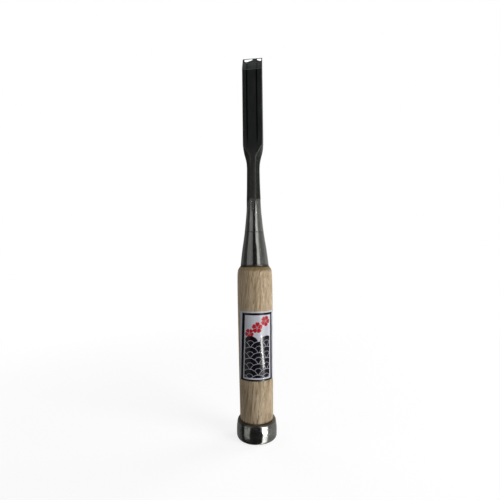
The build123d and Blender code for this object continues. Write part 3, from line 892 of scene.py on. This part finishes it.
    # the neck's right front face shines less
    right_face = (x.fade(off=1.6, on=2.2) * y.fade(off=-0.5, on=-1.2) * on_neck
                  * ground.inv())
    metal = 0.45 + ground * 0.55 + front_lines * 0.5 - right_face * 0.40
    pitting = net.bump(specks * ground.inv() * 0.8 + broad * 0.3,
                       strength=0.55, distance=0.00006)
    scoring = net.bump(brush * (ground * 0.7 + 0.1) + scratch * patch * 1.2,
                       strength=0.35, distance=0.00003, Normal=pitting)
    return net.principled(color=col, rough=rough.sat(), metal=(metal + on_bevel * 0.4).sat(),
                          normal=scoring, spec=0.5 - right_face * 0.38)


def hard_steel(net):
    here = x, y, z = net.mm()
    band = net.attr("band")
    across = net.noise(here, (0.22, 3, 14), detail=2)
    lengthwise = net.noise(here, (12, 2, 0.3))
    cloud = net.noise(here, (0.4, 0.4, 0.14))

    # the hollow keeps a darker, scraped finish; the rim that is honed is bright
    depth = y.fade(off=BACK_Y - 0.012, on=BACK_Y - 0.05) * band.inv()
    flat = y.fade(off=BACK_Y - 0.012, on=BACK_Y - 0.004) * band.inv()
    side = (x.abs().fade(off=HALF_W - 0.05, on=HALF_W - 0.01) * band.inv()
            * y.fade(off=BACK_Y - 0.02, on=BACK_Y - 0.25))
    col = (cloud * 0.5 + across * 0.5).ramp((0.3, (0.42, 0.43, 0.44)),
                                            (0.7, (0.62, 0.63, 0.645)))
    scraped = (lengthwise * 0.6 + cloud * 0.4).ramp((0.3, (0.16, 0.165, 0.17)),
                                                    (0.7, (0.30, 0.305, 0.31)))
    col = depth.choose(col, scraped)
    # black scale on the side walls and at the lower end
    scale = (cloud + (z - 184.0) * -0.02).fade(off=0.44, on=0.56)
    black = cloud.ramp((0.35, (0.014, 0.014, 0.015)), (0.7, (0.035, 0.034, 0.034)))
    col = side.choose(col, black)
    col = col.tint((0.05, 0.048, 0.046), z.fade(off=186, on=180) * 0.8 * scale)

    # the honed strip on the bevel: polished in two spans across, satin in between; the spans'
    # outline and near-white colour are drawn where glints fall, a painted highlight lit by the
    # overhead lamp
    climb = up_bevel(y)
    wander = net.noise((x, 0.0, climb), (0.9, 1, 0.6), detail=2, rough=0.5).sway(0.9)
    left_span = x.fade(off=-5.05, on=-4.65) * (x + wander * 0.6).fade(off=0.25, on=-0.25)
    right_span = (x + wander * 0.5).fade(off=2.65, on=3.10) * x.fade(off=5.60, on=5.35)
    span = (left_span + right_span).sat()
    # how much lower the polished glint ends, left and right of x = 1
    left_taper = (x + 3.3).max(0.0) * 0.42 + (-x - 4.0).max(0.0) * 0.70
    right_taper = (-x + 4.5).max(0.0) * 0.60 + 0.25
    taper = left_taper * x.fade(off=1.1, on=0.9) + right_taper * x.fade(off=0.9, on=1.1)
    polish_and_glint = (span * climb.fade(off=0.68, on=0.92)
                * (climb + wander * 0.6 + taper).fade(off=3.25, on=2.65))
    satin = net.noise(here, (0.6, 1.2, 1.2), detail=4).ramp((0.3, (0.066, 0.075, 0.079)),
                                                            (0.7, (0.100, 0.111, 0.116)))
    satin = satin.tint((0.024, 0.027, 0.029), dark_lines(x) * 0.45 * band)
    satin = satin.tint((0.032, 0.038, 0.041), climb.fade(off=2.7, on=3.3), by=0.55)
    satin = satin.tint((0.15, 0.155, 0.16), climb.fade(off=4.02, on=4.18), by=0.25)
    # painted dark reflection along the cutting edge and the sides, in place of a micro-bevel
    rim = (climb.fade(off=0.42, on=0.30)
           + x.abs().fade(off=HALF_W - 0.62, on=HALF_W - 0.45)).sat()
    satin = satin.tint((0.05, 0.05, 0.05), rim, by=0.5)
    # near-white painted glint on the polished spans, dark satin elsewhere
    col = band.choose(col, polish_and_glint.choose(satin, (0.88, 0.89, 0.90)))

    rough = (flat * 0.16 + depth * (0.26 + lengthwise.sway(0.2)) + side * 0.35
             + band * (polish_and_glint.inv() * 0.40 + 0.07) + cloud.sway(0.06)
             + (flat + depth + side + band).inv().sat() * 0.2)
    bump = net.bump(across * flat + lengthwise * depth * 1.6 + across * band * 0.25,
                    strength=0.22, distance=0.00002)
    return net.principled(color=col, rough=rough.sat(), metal=side.inv() * 0.45 + 0.55,
                          normal=bump)


def ground_ferrule(net):
    x, y, z = net.mm()
    arc = x.atan2(-y) * 7.0      # arc length round the cone at its mean radius
    brush = net.noise((arc, z, 0.0), (7, 0.22, 1), rough=0.62)
    streak = net.noise((arc, z, 4.0), (1.6, 0.06, 1))
    cloud = net.noise((arc, z, 9.0), (0.5, 0.25, 1), detail=4)
    nick = net.noise((arc + z * 0.5, z, 2.0), (1.9, 0.9, 1), detail=4, rough=0.8)
    rims = (z.fade(off=RIM_Z + 1.15, on=RIM_Z + 0.55) * 1.2
            + z.fade(off=SEAM_Z - 0.45, on=SEAM_Z - 0.05) * 0.45).sat()
    col = (brush * 0.35 + streak * 0.4 + cloud * 0.25).ramp((0.32, (0.17, 0.17, 0.165)),
                                                            (0.5, (0.26, 0.26, 0.255)),
                                                            (0.70, (0.38, 0.38, 0.37)))
    col = col.tint((0.10, 0.10, 0.098), nick.fade(off=0.60, on=0.70), by=0.35)
    col = col.tint((0.030, 0.028, 0.026), rims, by=0.65)
    rough = 0.165 + brush.sway(0.14) + cloud.sway(0.08) + rims * 0.15
    bump = net.bump(brush * 0.6 + streak * 0.6 + nick * 0.12, strength=0.22, distance=0.00003)
    # the drawn cone is a few hundredths out of round down one line
    swell = (arc.fade(off=1.0, on=3.1) * arc.fade(off=9.0, on=6.5)
             * z.fade(off=118.5, on=112.0))
    bump = net.bump(swell, strength=1.0, distance=0.00008, Normal=bump)
    return net.principled(color=col, rough=rough.sat(), metal=1.0, normal=bump)


def hammered_hoop_steel(net):
    here = x, y, z = net.mm()
    cloud = net.noise(here, (0.35, 0.35, 0.4), detail=4)
    fine = net.noise(here, (2.6, 2.6, 2.6), detail=5, rough=0.65)
    cells = net.node("CombineXYZ", {0: x * 0.9, 1: y * 0.9, 2: z * 0.9})
    pits = net.node("TexVoronoi", {"Vector": cells, "Scale": 1.0}, "Distance")
    scale = net.noise(here, (0.55, 0.55, 0.6), detail=5, rough=0.7).fade(off=0.50, on=0.64)
    col = (cloud * 0.6 + fine * 0.4).ramp((0.30, (0.16, 0.16, 0.155)),
                                          (0.55, (0.27, 0.27, 0.262)),
                                          (0.75, (0.40, 0.395, 0.385)))
    col = col.tint((0.055, 0.053, 0.052), scale, by=0.55)
    # painted shade on the inner edge, in the gap against the handle
    inner = (x * x + y * y).sqrt().fade(off=BORE_R + 0.6, on=BORE_R + 0.15)
    col = col.tint((0.03, 0.026, 0.022), inner, by=0.9)
    # the crest is dirty, and its brown is a painted reflection of the oak above it
    crest = z.fade(off=9.7, on=10.7)
    col = col.tint((0.074, 0.054, 0.033), crest, by=0.85)
    rough = 0.12 + scale * 0.14 + fine.sway(0.08) + inner * 0.35
    bump = net.bump(cloud * 1.0 + fine * 0.20 + pits * 0.18, strength=0.30, distance=0.00008)
    return net.principled(color=col, rough=rough.sat(), metal=crest * -0.38 + 0.97,
                          normal=bump)


# ------------------------------------------------------------------ oak
def white_oak(net):
    here = x, y, z = net.mm()
    # grain runs up the handle with a slant; the tree's heart lies well outside the handle
    gx = x - (z - 60.0) * 0.115
    gy = y + (z - 60.0) * 0.05
    warp = net.noise(here, (0.07, 0.07, 0.018), detail=2, rough=0.5).sway(2.6)
    heart_x, heart_y = gx + 34.0, gy - 21.0
    dist = (heart_x * heart_x + heart_y * heart_y).sqrt() + warp
    uneven = net.noise((dist * 0.3, 0.0, 0.0), detail=1, rough=0.5).sway(1.4)
    phase = (dist / 2.3 + uneven).fract()     # rings are about 2.3 apart
    early = phase.fade(off=0.50, on=0.02)     # porous spring wood at the start of each ring
    late = phase.fade(off=0.35, on=0.95)

    fibre = net.noise((gx, gy, z), (3.2, 3.2, 0.14))
    coarse = net.noise((gx, gy, z), (1.05, 1.05, 0.032), rough=0.55)
    pore = net.noise((gx * 3.0, gy * 3.0, z * 0.13 + 7.0), detail=2, rough=0.5)
    pores = pore.fade(off=0.52, on=0.62) * (early * 0.75 + 0.25)
    dash = net.noise((gx * 1.75, gy * 1.75, z * 0.055 - 3.0), detail=2, rough=0.5)
    dashes = dash.fade(off=0.53, on=0.63) * (early * 0.45 + 0.55)
    rays = net.noise((gx * 0.85 + gy * 0.52, gy * 0.85 - gx * 0.52, z), (0.9, 3.0, 0.30),
                     detail=2, rough=0.5).fade(off=0.62, on=0.74)
    tone = net.noise(here, (0.10, 0.10, 0.03))

    col = (fibre * 0.25 + coarse * 0.5 + tone * 0.25).ramp((0.36, (0.290, 0.200, 0.112)),
                                                           (0.46, (0.500, 0.375, 0.230)),
                                                           (0.55, (0.680, 0.540, 0.365)),
                                                           (0.66, (0.860, 0.720, 0.530)))
    col = col.tint((0.40, 0.285, 0.165), late, by=0.20)
    col = col.tint((0.190, 0.125, 0.066), dashes, by=0.78)
    col = col.tint((0.120, 0.076, 0.038), pores, by=0.78)
    col = col.tint((0.76, 0.64, 0.48), rays, by=0.50)
    # painted light: the upper wood is paler towards the left
    left_painted_light = z.fade(off=72, on=92) * x.fade(off=-1.8, on=-5.2) * x.fade(off=-11.5, on=-8.0)
    col = col.tint((0.86, 0.63, 0.42), left_painted_light, by=0.26)
    # towards the hoop the wood is tinted greyer and darker
    col = col.tint((0.22, 0.175, 0.125), z.fade(off=48, on=22), by=0.12)
    # painted shade on the scraped chamfer, a darker brown where it faces up out of the side
    # light, more so to the right; darker by ferrule and hoop, grime there with painted shade in
    # the joints
    chamfer = (z + (coarse - 0.5) * 3.6).fade(off=99.2, on=101.0)
    strength = (x * 0.035 + 0.77).max(0.35).min(0.90)
    col = col.tint((0.182, 0.124, 0.046), chamfer * strength)
    by_hoop = (z + coarse.sway(1.2)).fade(off=HOOP_H + 0.9, on=HOOP_H - 0.1)
    joint_grime_and_shade = z.fade(off=RIM_Z - 0.9, on=RIM_Z - 0.1) + by_hoop * 0.5
    col = col.tint((0.075, 0.050, 0.028), joint_grime_and_shade, by=0.70)
    # painted shade in the joint line just under the ferrule's rim
    col = col.tint((0.020, 0.013, 0.008), z.fade(off=RIM_Z - 0.75, on=RIM_Z - 0.45), by=0.80)
    # end grain: rings across, darker
    ends = (z.fade(off=0.35, on=0.05) + z.fade(off=TENON_Z - 0.3, on=TENON_Z)).sat()
    end_grain = phase.ramp((0.0, (0.10, 0.065, 0.035)), (0.25, (0.20, 0.135, 0.075)),
                           (0.5, (0.33, 0.235, 0.14)), (1.0, (0.26, 0.18, 0.10)))
    col = ends.choose(col, end_grain)

    rough = 0.50 + fibre.sway(0.22) + pores * 0.20 + dashes * 0.1
    bump = net.bump(fibre * 0.30 + coarse * 0.2 - pores * 0.9 - dashes * 0.7,
                    strength=0.55, distance=0.00010)
    return net.principled(color=col, rough=rough.sat(), metal=0.0, normal=bump, spec=0.42,
                          coat=0.10, coat_rough=0.35)


# ------------------------------------------------------------------ label print
# three blossoms on a rising diagonal: centre u, centre v, radius, turn in radians
BLOSSOMS = [(-5.9, 7.6, 2.9, 0.35), (-1.2, 10.9, 3.35, 1.0), (4.0, 14.5, 3.2, 0.1)]
WAVE_R, WAVE_ROWS, WAVE_FIRST, WAVE_PITCH = 4.9, 8, -21.2, 3.22


def blossom(u, v, centre_u, centre_v, size, turn):
    """Mask of a five-petalled flower with notched tips, gaps, a ring eye and stamens."""
    du, dv = u - centre_u, v - centre_v
    r = (du * du + dv * dv).sqrt()
    angle = dv.atan2(du) + turn
    petal = (angle * 2.5).cos().abs() ** 0.55
    notch = ((angle * 5.0).cos() * 0.5 + 0.5) ** 10.0
    rim = (petal * 0.42 + 0.58 - notch * 0.10) * size
    gap = (angle * 2.5).cos().abs().fade(off=0.10, on=0.03) * r.fade(off=0.45, on=0.75)
    eye = r.fade(off=0.50, on=0.42) * r.fade(off=0.24, on=0.32)
    stamens = ((angle * 5.0 + math.pi).cos().fade(off=0.86, on=0.95)
               * r.fade(off=0.5, on=0.62) * r.fade(off=1.42, on=1.30))
    return ((r - rim).fade(off=0.06, on=-0.06) * (gap * 0.9).sat().inv() * eye.inv()
            * stamens.inv())


def waves(net, sheet_u, u, v):
    """Bank of overlapping wave scales, heavy black with thin pale lines."""
    black = net.math("MULTIPLY", sheet_u, 0.0)
    covered = net.math("MULTIPLY", sheet_u, 0.0)
    for row in range(WAVE_ROWS):               # nearest row first
        du = (u + (WAVE_R if row % 2 else 0.0)).wrap(WAVE_R, -WAVE_R)
        dv = v - (WAVE_FIRST + row * WAVE_PITCH)
        r = (du * du + dv * dv).sqrt()
        hit = r.lt(WAVE_R) * covered.inv() * dv.gt(-WAVE_R * 0.3)
        line = ((r - WAVE_R + 0.10).abs().fade(off=0.14, on=0.06)
                + (r - WAVE_R * 0.44).abs().fade(off=0.115, on=0.045)).sat()
        black = black + hit * line.inv()
        covered = (covered + hit).sat()
    field = (u + 0.59).abs().fade(off=7.84, on=7.74) * v.fade(off=-18.3, on=-18.15)
    return (black * field).sat()


def printed_label(net):
    sheet = u, v = net.attr("pu"), net.attr("pv")

    def paper_noise(layer, per_mm, **settings):
        return net.noise((*sheet, layer), (*per_mm, 1), **settings)

    # ink edges bleed a little into the paper
    ink_u = u + net.noise((u * 3.1, v * 3.1, 1.0)).sway(0.16)
    ink_v = v + net.noise((u * 3.1, v * 3.1, 8.0)).sway(0.16)
    # the print sits a little askew on the sheet
    ink_u = ink_u - ink_v * (ink_u * -0.00335 - 0.0033)

    def beyond(left, right, bottom, top):
        """Distance outside a box, negative inside."""
        return (left - ink_u).max(ink_u - right).max((ink_v - top).max(bottom - ink_v))

    beyond_sheet = (ink_u.abs() - LABEL_W / 2).max(ink_v.abs() - LABEL_H / 2)
    border = (beyond(-11.34, 9.95, -20.8, 19.35).fade(off=0.05, on=-0.05)
              * beyond(-9.15, 8.05, -19.10, 18.05).fade(off=-0.05, on=0.05))
    red = None
    for place in BLOSSOMS:
        flower = blossom(ink_u, ink_v, *place)
        red = flower if red is None else red.max(flower)
    ink = (waves(net, u, ink_u, ink_v) + border).sat()

    paper = paper_noise(0.0, (0.5, 0.35), detail=4).ramp((0.3, (0.66, 0.67, 0.74)),
                                                         (0.7, (0.76, 0.77, 0.84)))
    fibres = paper_noise(3.0, (6, 6), detail=4, rough=0.7)
    paper = paper.tint((0.60, 0.60, 0.62), fibres, by=0.12)
    red_ink = paper_noise(5.0, (1.2, 1.2)).ramp((0.3, (0.46, 0.012, 0.022)),
                                                (0.7, (0.62, 0.030, 0.045)))
    black_ink = paper_noise(6.0, (1.5, 1.5)).ramp((0.3, (0.004, 0.0035, 0.006)),
                                                  (0.7, (0.012, 0.010, 0.016)))
    col = ink.choose(red.choose(paper, red_ink), black_ink)
    col = col.tint((0.42, 0.39, 0.35), beyond_sheet.fade(off=-0.35, on=0.0), by=0.12)
    crinkle = paper_noise(12.0, (0.55, 0.30), rough=0.5)
    bump = net.bump(crinkle * 1.0 + fibres * 0.06, strength=0.35, distance=0.00025)
    rough = 0.24 + crinkle.sway(0.12) + fibres.sway(0.08)
    return net.principled(color=col, rough=rough.sat(), metal=0.0, normal=bump, spec=0.06,
                          coat=0.30, coat_rough=0.04)


# ------------------------------------------------------------------ the tool
blade = build_blade()
steel = build_hard_steel()
ferrule = build_ferrule()
hoop = build_hoop()
handle = build_handle()
label = build_label()
for ob, shade in ((blade, forged_blade), (steel, hard_steel), (ferrule, ground_ferrule),
                  (hoop, hammered_hoop_steel), (handle, white_oak), (label, printed_label)):
    paint(ob, shade.__name__, shade)

# ------------------------------------------------------------------ camera, metres
CAMERA_TURN = math.radians(6.7)  # from the front towards +X
CAMERA_ROLL = math.radians(0.79)
CAMERA_DIST, CAMERA_Z = 0.212, 0.1052


def build_camera():
    data = bpy.data.cameras.new("camera")
    data.sensor_width = 36.0
    data.lens = 25.2
    data.clip_start = 0.005
    data.clip_end = 20.0
    data.shift_x = -0.0092
    data.shift_y = 0.024
    camera = bpy.data.objects.new("camera", data)
    bpy.context.scene.collection.objects.link(camera)
    camera.location = (math.sin(CAMERA_TURN) * CAMERA_DIST,
                       -math.cos(CAMERA_TURN) * CAMERA_DIST, CAMERA_Z)
    look = Matrix.Rotation(CAMERA_TURN, 4, "Z") @ Matrix.Rotation(math.radians(90), 4, "X")
    camera.rotation_euler = (look @ Matrix.Rotation(-CAMERA_ROLL, 4, "Z")).to_euler()
    bpy.context.scene.camera = camera


# ------------------------------------------------------------------ floor, metres
FLOOR_HALF, FLOOR_Z = 3.0, -0.0002


def pale_floor(net):
    """Catches shadows near the tool and fades to plain white for the camera."""
    x, y, _ = net.xyz()
    far = (x * x + y * y).sqrt().fade(off=0.10, on=0.42)
    seen = net.node("LightPath", {}, "Is Camera Ray")
    matt = net.principled(color=(0.30, 0.30, 0.30), rough=0.9, spec=0.0)
    dark = net.node("BsdfDiffuse", {0: (0, 0, 0)})
    glow = net.node("Emission", {0: (1, 1, 1), 1: (far * 0.20 + 0.80) * seen})
    fading = net.node("MixShader", {0: far * seen, 1: matt, 2: dark})
    return net.node("AddShader", {0: fading, 1: glow})


def build_floor():
    mesh = bpy.data.meshes.new("floor")
    corners = ((-1, -1), (1, -1), (1, 1), (-1, 1))
    mesh.from_pydata([(x * FLOOR_HALF, y * FLOOR_HALF, FLOOR_Z) for x, y in corners], [],
                     [(0, 1, 2, 3)])
    floor = bpy.data.objects.new("floor", mesh)
    bpy.context.scene.collection.objects.link(floor)
    paint(floor, "pale_floor", pale_floor)
    floor.visible_glossy = False


# ------------------------------------------------------------------ soft boxes
# name, degrees round from the camera, degrees up, distance m, width m, height m, watts
SOFT_BOXES = [("key_box", 54, 14, 0.9, 0.45, 1.0, 7.4),
              ("fill_box", -72, 8, 1.0, 0.50, 1.0, 1.1),
              ("back_box_a", 120, 16, 1.1, 0.6, 0.9, 5.4),
              ("back_box_b", -140, 15, 1.1, 0.7, 0.8, 2.0)]
LIGHT_TARGET = Vector((0, 0, 0.11))


def build_light(name, around, up, distance, width, height, power):
    data = bpy.data.lights.new(name, "AREA")
    data.shape = "RECTANGLE"
    data.size, data.size_y = width, height
    data.energy = power
    light = bpy.data.objects.new(name, data)
    bpy.context.scene.collection.objects.link(light)
    turn, rise = CAMERA_TURN + math.radians(around), math.radians(up)
    light.location = LIGHT_TARGET + Vector((math.sin(turn) * math.cos(rise),
                                            -math.cos(turn) * math.cos(rise),
                                            math.sin(rise))) * distance
    light.rotation_euler = (LIGHT_TARGET - light.location).to_track_quat("-Z", "Y").to_euler()
    light.visible_glossy = False


# ------------------------------------------------------------------ world
def studio_level(net):
    """Brightness of the room that bright metal sees: upright bands, by direction.

    Angles are in degrees, azimuth 0 on the camera's side and positive to its right.
    """
    dx, dy, dz = net.xyz("Generated")
    turn_cos, turn_sin = math.cos(CAMERA_TURN), math.sin(CAMERA_TURN)
    rx, ry = dx * turn_cos + dy * turn_sin, dy * turn_cos - dx * turn_sin
    azimuth = rx.atan2(-ry) * (180 / math.pi)
    height = dz.asin() * (180 / math.pi)
    lower = height.fade(off=7, on=-5)

    def by_height(high, low):
        return lower * (low - high) + high

    def steady(value, like=azimuth):
        return like * 0 + value

    def band(start, end, soft):
        return ((azimuth - start).fade(off=-soft, on=soft)
                * (azimuth - end).fade(off=soft, on=-soft))

    # key box on the right and the dimmer wall beyond it, round to the bright rear
    key_start, key_end = by_height(19, 30), by_height(45.5, 61.5)
    level = band(key_start, key_end, soft=2.2) * by_height(1.56, 3.6)
    level = level + band(key_end, steady(152, key_end), soft=4.0) * by_height(0.38, 0.46)
    level = level + azimuth.fade(off=148, on=158) * 0.85
    # fill on the left, stronger away from the camera, and the wall beyond it
    fill = band(by_height(-64.0, -75.5), by_height(-15.0, -38.0), soft=2.4)
    level = level + (fill * by_height(0.37, 0.515)
                     * (azimuth.fade(off=-20, on=-42) * 0.34 + 0.88)
                     * height.fade(off=-30.8, on=-26.0))
    level = level + azimuth.fade(off=-98, on=-108) * by_height(0.13, 0.20)
    level = level + azimuth.fade(off=-58, on=-66) * by_height(0.055, 0.0)
    level = level + band(steady(112), steady(150), soft=6.0) * by_height(0.16, 0.0)
    # a ragged-edged window low on the right, seen in glossy things that face it
    slip = (-height - 14.0).max(0.0) * 3.4 + (height * 97.0).sin() * 3.0
    level = level + (band(slip + 34.0, slip + 45.0, soft=1.5) * height.fade(off=-12, on=-12.8)
                     * height.fade(off=-18.2, on=-17.2) * 60.0)
    # a dark gap on the right, then a dark ceiling with a round lamp overhead
    level = level - band(steady(56), steady(92), soft=8.0) * by_height(0.09, 0.0)
    level = level * height.fade(off=38, on=27) + 0.03
    off_lamp = ((rx - 0.0) * (rx - 0.0) + (ry + 0.10) * (ry + 0.10)).sqrt()
    return level + off_lamp.fade(off=0.20, on=0.16) * dz.fade(off=0.5, on=0.7) * 1.6


def build_world():
    world = bpy.data.worlds.new("studio")
    bpy.context.scene.world = world
    world.use_nodes = True
    net = Net(world.node_tree)
    studio = net.node("Background", {0: (1.0, 1.0, 0.965), 1: studio_level(net)})
    even = net.node("Background", {0: (0.97, 0.98, 1.0), 1: 0.17})
    white = net.node("Background", {0: (1, 1, 1)})
    rays = net.node("LightPath", {}, None)
    glossy, camera = (Value(net, rays.outputs[f"Is {kind} Ray"]) for kind in ("Glossy", "Camera"))
    lit = net.node("MixShader", {0: glossy, 1: even, 2: studio})
    net.finish("OutputWorld", net.node("MixShader", {0: camera, 1: lit, 2: white}))
    world.cycles.sampling_method = "NONE"      # the bands are seen by reflected rays alone


build_camera()
build_floor()
for soft_box in SOFT_BOXES:
    build_light(*soft_box)
build_world()
bpy.context.scene.view_settings.view_transform = "Standard"
bpy.context.scene.view_settings.look = "None"
